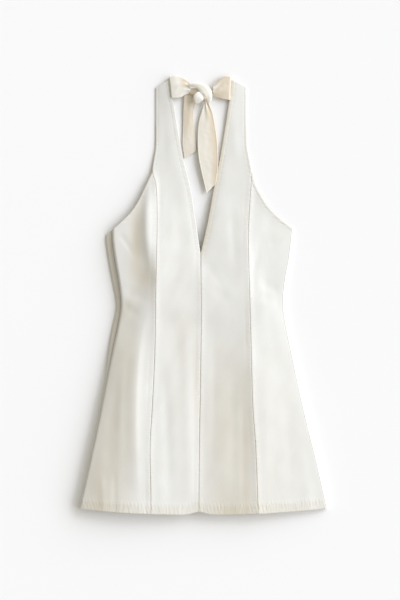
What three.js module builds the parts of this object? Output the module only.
// A halter dress in off-white cotton twill, laid on its back on a flat surface, in millimetres.
// X runs across the dress, Y runs up it from hem to neck, and Z stands off the surface.
// Heights along the dress are called "up" and are measured from the lowest point of the hem.
import * as THREE from 'three';

// Cloth
const WALL = 1.3; // twill with its seam allowances pressed behind it
const STEEP_WALL = 0.8; // added to the upright depth of a wall that drops steeply, as a share
const SEAM_GAP = 0.3;
const HALF_GAP = SEAM_GAP / 2;

// Heights of the main points
const BACK_HEM_RISE = 2;
const WAIST = 431;
const NECK_POINT = 537;
const UNDERARM_LEFT = 586;
const UNDERARM_RIGHT = 590;
const SEAM_TOP = 706;
const STRAP_TOP_OUTER = 879;
const STRAP_TOP_INNER = 896;
const BACK_NECK = 500;

// Hem line: a shallow bow that rises to the side seams, and a small notch where the centre seam pulls it up
const HEM_HALF_WIDTH = 255;
const HEM_BOW = 12;
const HEM_BOW_POWER = 2.2;
const HEM_NOTCH = 6;
const HEM_NOTCH_WIDTH = 16;

// Grid of each wall
const CENTRE_COLUMNS = 12;
const SIDE_COLUMNS = 12;
const ROWS_TO_NECK_POINT = 17;
const ROWS_TO_SEAM_TOP = 25;
const ROWS_TO_STRAP_TOP = 35;
const BACK_FLAT_COLUMNS = 4;
const BACK_ROLL_COLUMNS = 6;
const TIE_COLUMNS = 6;
const TIE_ROWS = 16;

// Side seams: where they run, how far the back's folded edge rolls out past them, how high they lie,
// and how far the front's edge stands over them
const SIDES = {
  left: [
    { up: 0, x: -256.5, roll: 2.2, lift: 13, edge: 1 },
    { up: 111, x: -231.7, roll: 2.2, lift: 13, edge: 1 },
    { up: 194, x: -214.5, roll: 2.2, lift: 11.5, edge: 1.5 },
    { up: 276, x: -199, roll: 3, lift: 8.5, edge: 2.5 },
    { up: 338, x: -187, roll: 8, lift: 5.2, edge: 5 },
    { up: 379, x: -178, roll: 10, lift: 4.4, edge: 5.6 },
    { up: WAIST, x: -170, roll: 8.5, lift: 4, edge: 6 },
    { up: 483, x: -175, roll: 12.2, lift: 4, edge: 7 },
    { up: 524, x: -182, roll: 12.8, lift: 4, edge: 7 },
    { up: 565, x: -187.5, roll: 12.6, lift: 4, edge: 6.5 },
    { up: 590, x: -188, roll: 12, lift: 4, edge: 5 },
  ],
  right: [
    { up: 0, x: 256.5, roll: 2.2, lift: 8, edge: 0 },
    { up: 111, x: 231.7, roll: 2.2, lift: 8, edge: 0 },
    { up: 194, x: 211, roll: 2.2, lift: 8, edge: 0 },
    { up: 276, x: 192.5, roll: 2.2, lift: 7.5, edge: 0 },
    { up: 338, x: 179.5, roll: 2.2, lift: 7, edge: 0 },
    { up: 379, x: 171, roll: 2.2, lift: 6.5, edge: 0 },
    { up: WAIST, x: 163.5, roll: 2.2, lift: 6, edge: 0 },
    { up: 483, x: 167.5, roll: 2.2, lift: 5.6, edge: 0 },
    { up: 524, x: 175, roll: 2.2, lift: 5.2, edge: 0 },
    { up: 565, x: 180, roll: 2.2, lift: 4.6, edge: 0 },
    { up: 590, x: 182.5, roll: 2.2, lift: 4, edge: 0 },
  ],
};

// Princess seams up to the armhole, then the outer edges of the straps
const PRINCESS = [
  { up: 0, left: -108, right: 112.5 },
  { up: 45, left: -108, right: 111 },
  { up: 144, left: -109.5, right: 107 },
  { up: 222, left: -105, right: 101.5 },
  { up: 346, left: -99.5, right: 98 },
  { up: 456, left: -98, right: 95 },
  { up: 571, left: -95.5, right: 92.5 },
  { up: 633, left: -95.5, right: 95 },
  { up: 679, left: -98, right: 98 },
  { up: 706, left: -105, right: 99.5 },
  { up: 730, left: -102.5, right: 95.5 },
  { up: 755, left: -98.8, right: 91 },
  { up: 790, left: -98.6, right: 89.7 },
  { up: 879, left: -98.6, right: 89.7 },
];

// Centre front seam up to the neck point, then the two edges of the V neck
const CENTRE = [
  { up: 0, left: -9.5, right: -9.5 },
  { up: 152, left: -8.4, right: -8.4 },
  { up: 243, left: -6.7, right: -6.7 },
  { up: 400, left: -4.6, right: -4.6 },
  { up: 537, left: -5.5, right: -5.5 },
];
const NECK = [
  { up: 537, left: -5.5, right: -5.5 },
  { up: 606, left: -16, right: 9.8 },
  { up: 668, left: -25.5, right: 21 },
  { up: 730, left: -40.5, right: 33.5 },
  { up: 792, left: -52, right: 44 },
  { up: 838, left: -59.5, right: 51 },
  { up: 864, left: -65.5, right: 55.5 },
  { up: 896, left: -69.5, right: 57.5 },
];

// Armholes from the underarm to the top of the princess seam
const ARMHOLE_LEFT = [
  { x: -188, up: UNDERARM_LEFT },
  { x: -169, up: 603 },
  { x: -149, up: 623 },
  { x: -134, up: 646 },
  { x: -119.5, up: 676 },
  { x: -105, up: SEAM_TOP },
];
const ARMHOLE_RIGHT = [
  { x: 99.5, up: SEAM_TOP },
  { x: 108, up: 678 },
  { x: 124, up: 648 },
  { x: 139, up: 627 },
  { x: 161.5, up: 606 },
  { x: 182.5, up: UNDERARM_RIGHT },
];

// Height of the front's outer face over the surface: half way across the side panel, at the princess seam,
// half way across the centre panel, and at the centre seam or the neck edge
const LOFT = {
  left: [
    { up: 0, slope: 21.5, princess: 21, hollow: 19, centre: 16 },
    { up: 110, slope: 20.5, princess: 21, hollow: 19, centre: 16 },
    { up: 235, slope: 19, princess: 18.5, hollow: 17, centre: 14 },
    { up: 317, slope: 16.3, princess: 16.2, hollow: 14.4, centre: 12.5 },
    { up: 380, slope: 14.1, princess: 15.9, hollow: 13.1, centre: 11.8 },
    { up: 431, slope: 14.4, princess: 18.5, hollow: 15.5, centre: 13.6 },
    { up: 483, slope: 13, princess: 18.5, hollow: 15.8, centre: 14 },
    { up: 524, slope: 13.3, princess: 18, hollow: 14.8, centre: 12.2 },
    { up: 565, slope: 12.8, princess: 16, hollow: 12.6, centre: 11 },
    { up: 606, slope: 10.5, princess: 13, hollow: 10.4, centre: 9.5 },
    { up: 648, slope: 7.2, princess: 9.2, hollow: 7.4, centre: 7.5 },
    { up: 690, slope: 4.8, princess: 6, hollow: 5.2, centre: 5.5 },
    { up: 740, slope: 3, princess: 3.6, hollow: 3.4, centre: 3.8 },
    { up: 800, slope: 3, princess: 3, hollow: 2.6, centre: 2.2 },
    { up: 845, slope: 3, princess: 2.8, hollow: 3.4, centre: 3.6 },
    { up: 896, slope: 3, princess: 2.8, hollow: 3.6, centre: 3.8 },
  ],
  right: [
    { up: 0, slope: 12.6, princess: 18.4, hollow: 16.7, centre: 16 },
    { up: 110, slope: 12.6, princess: 18, hollow: 16.5, centre: 16 },
    { up: 235, slope: 12.8, princess: 17, hollow: 14.6, centre: 14 },
    { up: 317, slope: 11.6, princess: 15.3, hollow: 12.8, centre: 12.5 },
    { up: 380, slope: 10.4, princess: 13, hollow: 11.3, centre: 11.8 },
    { up: 431, slope: 10.2, princess: 12.8, hollow: 12.8, centre: 13.6 },
    { up: 483, slope: 8.8, princess: 11.9, hollow: 12.8, centre: 14 },
    { up: 524, slope: 9, princess: 12.4, hollow: 12.6, centre: 12.2 },
    { up: 565, slope: 8.2, princess: 11.4, hollow: 11, centre: 11 },
    { up: 606, slope: 6.4, princess: 9, hollow: 9, centre: 9.5 },
    { up: 648, slope: 4.9, princess: 6.4, hollow: 6.8, centre: 7.5 },
    { up: 690, slope: 4.1, princess: 4.8, hollow: 5.2, centre: 5.5 },
    { up: 740, slope: 3, princess: 3, hollow: 3.5, centre: 3.8 },
    { up: 800, slope: 3, princess: 1.8, hollow: 2.5, centre: 3 },
    { up: 845, slope: 3, princess: 2, hollow: 3.3, centre: 3.8 },
    { up: 896, slope: 3, princess: 2, hollow: 3.5, centre: 4 },
  ],
};
const LOWEST_OVER_BACK = 3.2; // keeps the front clear of the back that it lies on
const LOWEST_STRAP = 1.5;

// Largest folds and creases, each a soft ridge (height over 0) or trough along a straight line
const FOLDS = [
  { fromX: -112, fromUp: 650, toX: -109, toUp: 515, halfWidth: 10, height: 2.8 },
  { fromX: 97, fromUp: 640, toX: 99, toUp: 490, halfWidth: 7, height: 1 },
  { fromX: -137, fromUp: 390, toX: -137, toUp: -20, halfWidth: 13, height: 1.2 },
  { fromX: -165, fromUp: 470, toX: -112, toUp: 446, halfWidth: 9, height: -1.3 },
  { fromX: 124, fromUp: 560, toX: 104, toUp: 470, halfWidth: 8, height: -1.3 },
  { fromX: 121, fromUp: 477, toX: 160, toUp: 456, halfWidth: 8, height: -1.3 },
  { fromX: 124, fromUp: 240, toX: 127, toUp: -20, halfWidth: 18, height: 0.8 },
  { fromX: -37, fromUp: 330, toX: -33, toUp: -20, halfWidth: 12, height: 0.9 },
];
const FOLD_FADE = 30; // length over which a fold dies out past each end
const SIDE_EDGE_REACH = 3; // width over which the front drops to its side seam
const FOLD_CLEAR_OF_SIDE = 0.25; // share of a side panel over which folds die out towards the side seam

// Neck ties. Each row is a cross-cut: its two edges, its height off the surface and how far it arches
const BAND_LEFT = [
  { x: -86, low: 864, high: 879, z: 1.6, arch: 0 },
  { x: -78, low: 861, high: 888, z: 1.7, arch: 0 },
  { x: -70, low: 859, high: 897, z: 1.8, arch: 0 },
  { x: -64.5, low: 858, high: 901, z: 2.4, arch: 0 },
  { x: -60, low: 857.5, high: 902.5, z: 7, arch: 0.8 },
  { x: -53, low: 857.5, high: 903.5, z: 7.8, arch: 2 },
  { x: -45, low: 859.5, high: 901, z: 6.6, arch: 2.8 },
  { x: -36, low: 864.5, high: 894.5, z: 6, arch: 2.8 },
  { x: -27, low: 867.5, high: 887, z: 6.2, arch: 2.4 },
];
const BAND_RIGHT = [
  { x: 19.8, low: 864, high: 886, z: 5.2, arch: 2.5 },
  { x: 27, low: 859.5, high: 891, z: 5.2, arch: 3 },
  { x: 36, low: 856.5, high: 898, z: 6, arch: 2.6 },
  { x: 45, low: 854, high: 902.5, z: 7, arch: 2 },
  { x: 50, low: 853.5, high: 902, z: 6.4, arch: 1.2 },
  { x: 53.6, low: 854, high: 900, z: 2.1, arch: 0 },
  { x: 58, low: 855, high: 896, z: 1.7, arch: 0 },
  { x: 66, low: 858, high: 889, z: 1.6, arch: 0 },
  { x: 77, low: 862, high: 879, z: 1.6, arch: 0 },
];
const TAIL_LEFT = [
  { leftX: -38, leftUp: 874, rightX: -4, rightUp: 868, z: 4.4, arch: 0 },
  { leftX: -41, leftUp: 838, rightX: -19, rightUp: 836, z: 4, arch: 1 },
  { leftX: -42, leftUp: 795, rightX: -18.5, rightUp: 790, z: 2.6, arch: 1.5 },
  { leftX: -43, leftUp: 765, rightX: -16, rightUp: 770, z: 2, arch: 0.8 },
  { leftX: -39, leftUp: 733, rightX: -13, rightUp: 749, z: 1.6, arch: 0 },
];
const TAIL_RIGHT = [
  { leftX: -1, leftUp: 860, rightX: 10, rightUp: 860, z: 4.6, arch: 0 },
  { leftX: 1, leftUp: 845, rightX: 12, rightUp: 845, z: 4.6, arch: 0.6 },
  { leftX: -4, leftUp: 828, rightX: 18.5, rightUp: 828, z: 5, arch: 3 },
  { leftX: -10, leftUp: 805, rightX: 24, rightUp: 803, z: 3.6, arch: 3 },
  { leftX: -12, leftUp: 772, rightX: 29, rightUp: 768, z: 2.4, arch: 2.5 },
  { leftX: -9, leftUp: 728, rightX: 31, rightUp: 724, z: 2, arch: 1.6 },
  { leftX: 6.5, leftUp: 661, rightX: 25.5, rightUp: 681, z: 1.6, arch: 0.4 },
];
const TIE_WALL = 1.3;

// Knot of the ties: a rounded block with the creases of the wraps
const KNOT = { x: -3.6, up: 866, halfX: 22.7, halfUp: 20, low: 4.9, high: 18.5, roundness: 2.8 };
const KNOT_SEGMENTS = 24;
const KNOT_RINGS = 14;
const KNOT_CREASES = [
  { x: -18, up: 873, angle: -10, depth: 0.3, halfWidth: 4.5 },
  { x: 2, up: 860, angle: -58, depth: 0.22, halfWidth: 3 },
];

// Colours
const TWILL_COLOUR = 0xf2f0e9;
const BACK_COLOUR = 0xefece3;
const TIE_COLOUR = 0xe9dfc8;

// A smooth curve through one column of a table, as a function of another column
function through(rows, key, value) {
  const at = rows.map((row) => row[key]);
  const values = rows.map((row) => row[value]);
  const last = at.length - 1;
  const slope = (i) => {
    const before = Math.max(i - 1, 0);
    const after = Math.min(i + 1, last);
    return (values[after] - values[before]) / (at[after] - at[before]);
  };
  return (where) => {
    let i = 0;
    while (i < last - 1 && where > at[i + 1]) {
      i += 1;
    }
    const span = at[i + 1] - at[i];
    const f = THREE.MathUtils.clamp((where - at[i]) / span, 0, 1);
    const rise = values[i + 1] - values[i];
    const startSlope = slope(i) * span;
    const endSlope = slope(i + 1) * span;
    return values[i] + f * startSlope + f * f * (3 * rise - 2 * startSlope - endSlope)
      + f * f * f * (startSlope + endSlope - 2 * rise);
  };
}

// The same for a curve in the plane, as a function of the share of its rows
function along(rows, columns) {
  const indexed = rows.map((row, i) => ({ ...row, share: i / (rows.length - 1) }));
  const curves = columns.map((column) => through(indexed, 'share', column));
  return (share) => curves.map((curve) => curve(share));
}

function hemAt(x) {
  const bow = HEM_BOW * Math.pow(Math.abs(x) / HEM_HALF_WIDTH, HEM_BOW_POWER);
  const notch = HEM_NOTCH * Math.exp(-Math.pow((x - CENTRE[0].left) / HEM_NOTCH_WIDTH, 2));
  return bow + notch;
}

// Every column of a table as a function of its first column, up
function curvesOf(rows) {
  const columns = Object.keys(rows[0]).slice(1);
  return Object.fromEntries(columns.map((column) => [column, through(rows, 'up', column)]));
}

const side = { left: curvesOf(SIDES.left), right: curvesOf(SIDES.right) };
const princess = curvesOf(PRINCESS);
const centre = curvesOf(CENTRE);
const neck = curvesOf(NECK);
const loft = { left: curvesOf(LOFT.left), right: curvesOf(LOFT.right) };

function middleEdge(hand, up) {
  return up <= NECK_POINT ? centre[hand](up) : neck[hand](up);
}

// How far a fold lifts or lowers the cloth at a point
function foldAt(fold, x, up) {
  const start = new THREE.Vector2(fold.fromX, fold.fromUp);
  const run = new THREE.Vector2(fold.toX, fold.toUp).sub(start);
  const length = run.length();
  const offset = new THREE.Vector2(x, up).sub(start);
  const reach = offset.dot(run) / length;
  const across = Math.abs(offset.cross(run)) / length;
  const past = Math.max(-reach, reach - length, 0);
  const fade = 1 - THREE.MathUtils.smoothstep(past, 0, FOLD_FADE);
  return fold.height * fade * Math.exp(-Math.pow(across / fold.halfWidth, 2));
}

// A parabola between two seams, from its heights at the seams and half way
function arc(share, first, middle, last) {
  return THREE.MathUtils.lerp(first, last, share) + 4 * share * (1 - share) * (middle - (first + last) / 2);
}

// A closed wall from its outer and inner faces. The outer face looks along s cross t.
function wallSolid(columns, rows, place) {
  const positions = [];
  const faceSize = (columns + 1) * (rows + 1);
  for (const face of ['outer', 'inner']) {
    for (let j = 0; j <= rows; j += 1) {
      for (let i = 0; i <= columns; i += 1) {
        positions.push(...place(i / columns, j / rows)[face]);
      }
    }
  }
  const outer = (i, j) => j * (columns + 1) + i;
  const inner = (i, j) => faceSize + outer(i, j);
  const index = [];
  const quad = (a, b, c, d) => index.push(a, b, c, a, c, d);
  for (let j = 0; j < rows; j += 1) {
    for (let i = 0; i < columns; i += 1) {
      quad(outer(i, j), outer(i + 1, j), outer(i + 1, j + 1), outer(i, j + 1));
      quad(inner(i, j), inner(i, j + 1), inner(i + 1, j + 1), inner(i + 1, j));
    }
    quad(outer(0, j + 1), inner(0, j + 1), inner(0, j), outer(0, j));
    quad(outer(columns, j), inner(columns, j), inner(columns, j + 1), outer(columns, j + 1));
  }
  for (let i = 0; i < columns; i += 1) {
    quad(outer(i, 0), inner(i, 0), inner(i + 1, 0), outer(i + 1, 0));
    quad(outer(i + 1, rows), inner(i + 1, rows), inner(i, rows), outer(i, rows));
  }
  const geometry = new THREE.BufferGeometry();
  geometry.setAttribute('position', new THREE.Float32BufferAttribute(positions, 3));
  geometry.setIndex(index);
  geometry.computeVertexNormals();
  return geometry;
}

// A point inside four border curves, each a function that gives [x, up]
function coonsPoint(borders, s, t) {
  const corner = [borders.bottom(0), borders.bottom(1), borders.top(0), borders.top(1)];
  return [0, 1].map((axis) => (1 - t) * borders.bottom(s)[axis] + t * borders.top(s)[axis]
    + (1 - s) * borders.start(t)[axis] + s * borders.end(t)[axis]
    - (1 - s) * (1 - t) * corner[0][axis] - s * (1 - t) * corner[1][axis]
    - (1 - s) * t * corner[2][axis] - s * t * corner[3][axis]);
}

// How far the front's edge has dropped towards its side seam, as a share
function sideDrop(hand, x, up) {
  return Math.exp(-Math.abs(x - side[hand].x(up)) / SIDE_EDGE_REACH);
}

function topAndUnder(x, up, z, wall) {
  return { outer: [x, up, z], inner: [x, up, z - wall] };
}

// Height of the front's outer face; share runs from the outer seam of the panel to its inner seam
function frontHeight(hand, isSidePanel, share, x, up) {
  const { slope, princess: seam, hollow, centre: edge } = loft[hand];
  const over = side[hand].edge(up);
  const plain = isSidePanel
    ? arc(share, side[hand].lift(up) + over, slope(up), seam(up)) - over * sideDrop(hand, x, up)
    : arc(share, seam(up), hollow(up), edge(up));
  const folds = FOLDS.reduce((sum, fold) => sum + foldAt(fold, x, up), 0);
  const foldShare = isSidePanel ? THREE.MathUtils.smoothstep(share, 0, FOLD_CLEAR_OF_SIDE) : 1;
  return Math.max(plain + folds * foldShare, up < UNDERARM_LEFT ? LOWEST_OVER_BACK : LOWEST_STRAP);
}

// Both panels of a princess seam have the same rows along it, and one row meets the neck point
function rowHeight(row, hem, strapTop) {
  if (row <= ROWS_TO_NECK_POINT) {
    return THREE.MathUtils.mapLinear(row, 0, ROWS_TO_NECK_POINT, hem, NECK_POINT);
  }
  return row <= ROWS_TO_SEAM_TOP
    ? THREE.MathUtils.mapLinear(row, ROWS_TO_NECK_POINT, ROWS_TO_SEAM_TOP, NECK_POINT, SEAM_TOP)
    : THREE.MathUtils.mapLinear(row, ROWS_TO_SEAM_TOP, ROWS_TO_STRAP_TOP, SEAM_TOP, strapTop);
}

function frontCentre(hand) {
  const inward = hand === 'left' ? 1 : -1;
  const seamSide = (t) => {
    const up = rowHeight(t * ROWS_TO_STRAP_TOP, hemAt(princess[hand](0)), STRAP_TOP_OUTER);
    return [princess[hand](up) + inward * HALF_GAP, up];
  };
  const neckSide = (t) => {
    const up = rowHeight(t * ROWS_TO_STRAP_TOP, hemAt(centre[hand](0)), STRAP_TOP_INNER);
    return [middleEdge(hand, up) - inward * HALF_GAP, up];
  };
  const [start, end] = hand === 'left' ? [seamSide, neckSide] : [neckSide, seamSide];
  const borders = {
    start,
    end,
    bottom: (s) => {
      const x = THREE.MathUtils.lerp(start(0)[0], end(0)[0], s);
      return [x, hemAt(x)];
    },
    top: (s) => [
      THREE.MathUtils.lerp(start(1)[0], end(1)[0], s),
      THREE.MathUtils.lerp(start(1)[1], end(1)[1], s),
    ],
  };
  return wallSolid(CENTRE_COLUMNS, ROWS_TO_STRAP_TOP, (s, t) => {
    const [x, up] = coonsPoint(borders, s, t);
    return topAndUnder(x, up, frontHeight(hand, false, hand === 'left' ? s : 1 - s, x, up), WALL);
  });
}

function frontSide(hand) {
  const left = hand === 'left';
  const inward = left ? 1 : -1;
  const underarm = left ? UNDERARM_LEFT : UNDERARM_RIGHT;
  const sideSeam = (t) => {
    const up = THREE.MathUtils.lerp(hemAt(side[hand].x(0)), underarm, t);
    return [side[hand].x(up) + inward * HALF_GAP, up];
  };
  const princessSeam = (t) => {
    const up = rowHeight(t * ROWS_TO_SEAM_TOP, hemAt(princess[hand](0)), STRAP_TOP_OUTER);
    return [princess[hand](up) - inward * HALF_GAP, up];
  };
  const armhole = along(left ? ARMHOLE_LEFT : ARMHOLE_RIGHT, ['x', 'up']);
  const [start, end] = left ? [sideSeam, princessSeam] : [princessSeam, sideSeam];
  const borders = {
    start,
    end,
    bottom: (s) => {
      const x = THREE.MathUtils.lerp(start(0)[0], end(0)[0], s);
      return [x, hemAt(x)];
    },
    top: (s) => {
      const [x, up] = armhole(s);
      return [x + inward * HALF_GAP * (left ? 1 - 2 * s : 2 * s - 1), up];
    },
  };
  return wallSolid(SIDE_COLUMNS, ROWS_TO_SEAM_TOP, (s, t) => {
    const share = Math.pow(left ? s : 1 - s, 2); // narrower columns at the side seam
    const [x, up] = coonsPoint(borders, left ? share : 1 - share, t);
    const wall = WALL * (1 + STEEP_WALL * sideDrop(hand, x, up));
    return topAndUnder(x, up, frontHeight(hand, true, share, x, up), wall);
  });
}

// The back lies flat and its edge rolls round to meet the front at the side seam
function back(hand) {
  const left = hand === 'left';
  const outward = left ? -1 : 1;
  const underarm = left ? UNDERARM_LEFT : UNDERARM_RIGHT;
  const columns = BACK_FLAT_COLUMNS + BACK_ROLL_COLUMNS;
  const flatShare = BACK_FLAT_COLUMNS / columns;
  const backNeckDip = underarm - BACK_NECK;
  return wallSolid(columns, ROWS_TO_SEAM_TOP, (s, t) => {
    const fromCentre = left ? s : 1 - s;
    const flat = Math.min(fromCentre / flatShare, 1);
    const turn = Math.PI * Math.max((fromCentre - flatShare) / (1 - flatShare), 0);
    const cornerDrop = (side[hand].roll(underarm) - 1) * Math.sin(turn);
    const top = underarm - backNeckDip * Math.pow(Math.cos(flat * Math.PI / 2), 2) - cornerDrop;
    const bottom = hemAt(flat * side[hand].x(0)) + BACK_HEM_RISE * (1 - flat);
    const up = THREE.MathUtils.lerp(bottom, top, t);
    const seam = side[hand].x(up) + outward * HALF_GAP;
    const middle = centre[hand](Math.min(up, NECK_POINT)) + outward * HALF_GAP;
    const roll = side[hand].roll(up) - HALF_GAP;
    const half = side[hand].lift(up) / 2;
    const flatX = THREE.MathUtils.lerp(middle, seam, flat);
    const ring = (inset) => [
      flatX + outward * Math.sin(turn) * (roll - inset),
      up,
      turn > 0 ? half - Math.cos(turn) * (half - inset) : inset,
    ];
    return { outer: ring(0), inner: ring(WALL) };
  });
}

// A tie between strap and knot, cut by upright lines
function band(rows) {
  const cut = along(rows, ['x', 'low', 'high', 'z', 'arch']);
  return wallSolid(TIE_ROWS, TIE_COLUMNS, (s, t) => {
    const [x, low, high, z, arch] = cut(s);
    return topAndUnder(x, THREE.MathUtils.lerp(low, high, t), z + arch * Math.sin(Math.PI * t), TIE_WALL);
  });
}

// A tie's free end, from the knot down to its slanting cut
function tail(rows) {
  const cut = along([...rows].reverse(), ['leftX', 'leftUp', 'rightX', 'rightUp', 'z', 'arch']);
  return wallSolid(TIE_COLUMNS, TIE_ROWS, (s, t) => {
    const [leftX, leftUp, rightX, rightUp, z, arch] = cut(t);
    const x = THREE.MathUtils.lerp(leftX, rightX, s);
    const up = THREE.MathUtils.lerp(leftUp, rightUp, s);
    return topAndUnder(x, up, z + arch * Math.sin(Math.PI * s), TIE_WALL);
  });
}

function knot() {
  const sphere = new THREE.SphereGeometry(1, KNOT_SEGMENTS, KNOT_RINGS);
  const points = sphere.getAttribute('position');
  const middleZ = (KNOT.low + KNOT.high) / 2;
  const halfZ = (KNOT.high - KNOT.low) / 2;
  const ringSize = KNOT_SEGMENTS + 1;
  const place = (i) => {
    const ray = new THREE.Vector3().fromBufferAttribute(points, i);
    const size = Math.pow(
      Math.pow(Math.abs(ray.x), KNOT.roundness) + Math.pow(Math.abs(ray.y), KNOT.roundness)
        + Math.pow(Math.abs(ray.z), KNOT.roundness),
      -1 / KNOT.roundness,
    );
    const at = ray.multiplyScalar(size);
    const x = KNOT.x + at.x * KNOT.halfX;
    const up = KNOT.up + at.y * KNOT.halfUp;
    const dent = KNOT_CREASES.reduce((sum, crease) => {
      const angle = THREE.MathUtils.degToRad(crease.angle);
      const across = (up - crease.up) * Math.cos(angle) - (x - crease.x) * Math.sin(angle);
      return sum + crease.depth * Math.exp(-Math.pow(across / crease.halfWidth, 2));
    }, 0);
    return [x, up, middleZ + at.z * halfZ * (at.z > 0 ? 1 - dent : 1)];
  };
  const positions = [];
  const index = [];
  positions.push(...place(0));
  for (let ring = 1; ring < KNOT_RINGS; ring += 1) {
    for (let i = 0; i < KNOT_SEGMENTS; i += 1) {
      positions.push(...place(ring * ringSize + i));
    }
  }
  positions.push(...place(KNOT_RINGS * ringSize));
  const top = 0;
  const bottom = 1 + (KNOT_RINGS - 1) * KNOT_SEGMENTS;
  const id = (ring, i) => 1 + (ring - 1) * KNOT_SEGMENTS + (i % KNOT_SEGMENTS);
  for (let i = 0; i < KNOT_SEGMENTS; i += 1) {
    index.push(top, id(1, i), id(1, i + 1));
    index.push(bottom, id(KNOT_RINGS - 1, i + 1), id(KNOT_RINGS - 1, i));
    for (let ring = 1; ring < KNOT_RINGS - 1; ring += 1) {
      index.push(id(ring, i), id(ring + 1, i), id(ring + 1, i + 1));
      index.push(id(ring, i), id(ring + 1, i + 1), id(ring, i + 1));
    }
  }
  const geometry = new THREE.BufferGeometry();
  geometry.setAttribute('position', new THREE.Float32BufferAttribute(positions, 3));
  geometry.setIndex(index);
  geometry.computeVertexNormals();
  return geometry;
}

function cloth(colour) {
  return new THREE.MeshStandardMaterial({ color: colour, roughness: 0.9, metalness: 0 });
}

const PIECES = [
  { name: 'front_centre_left', geometry: frontCentre('left'), colour: TWILL_COLOUR },
  { name: 'front_centre_right', geometry: frontCentre('right'), colour: TWILL_COLOUR },
  { name: 'front_side_left', geometry: frontSide('left'), colour: TWILL_COLOUR },
  { name: 'front_side_right', geometry: frontSide('right'), colour: TWILL_COLOUR },
  { name: 'back_left', geometry: back('left'), colour: BACK_COLOUR },
  { name: 'back_right', geometry: back('right'), colour: BACK_COLOUR },
  { name: 'tie_band_left', geometry: band(BAND_LEFT), colour: TIE_COLOUR },
  { name: 'tie_band_right', geometry: band(BAND_RIGHT), colour: TIE_COLOUR },
  { name: 'tie_knot', geometry: knot(), colour: TIE_COLOUR },
  { name: 'tie_tail_left', geometry: tail(TAIL_LEFT), colour: TIE_COLOUR },
  { name: 'tie_tail_right', geometry: tail(TAIL_RIGHT), colour: TIE_COLOUR },
];

const dress = new THREE.Group();
for (const { name, geometry, colour } of PIECES) {
  const piece = new THREE.Mesh(geometry, cloth(colour));
  piece.name = name;
  dress.add(piece);
}

// The origin is the middle of the dress, on the surface that it lies on
const extent = new THREE.Box3().setFromObject(dress);
const middle = extent.getCenter(new THREE.Vector3());
dress.position.set(-middle.x, -middle.y, -extent.min.z);

export default dress;
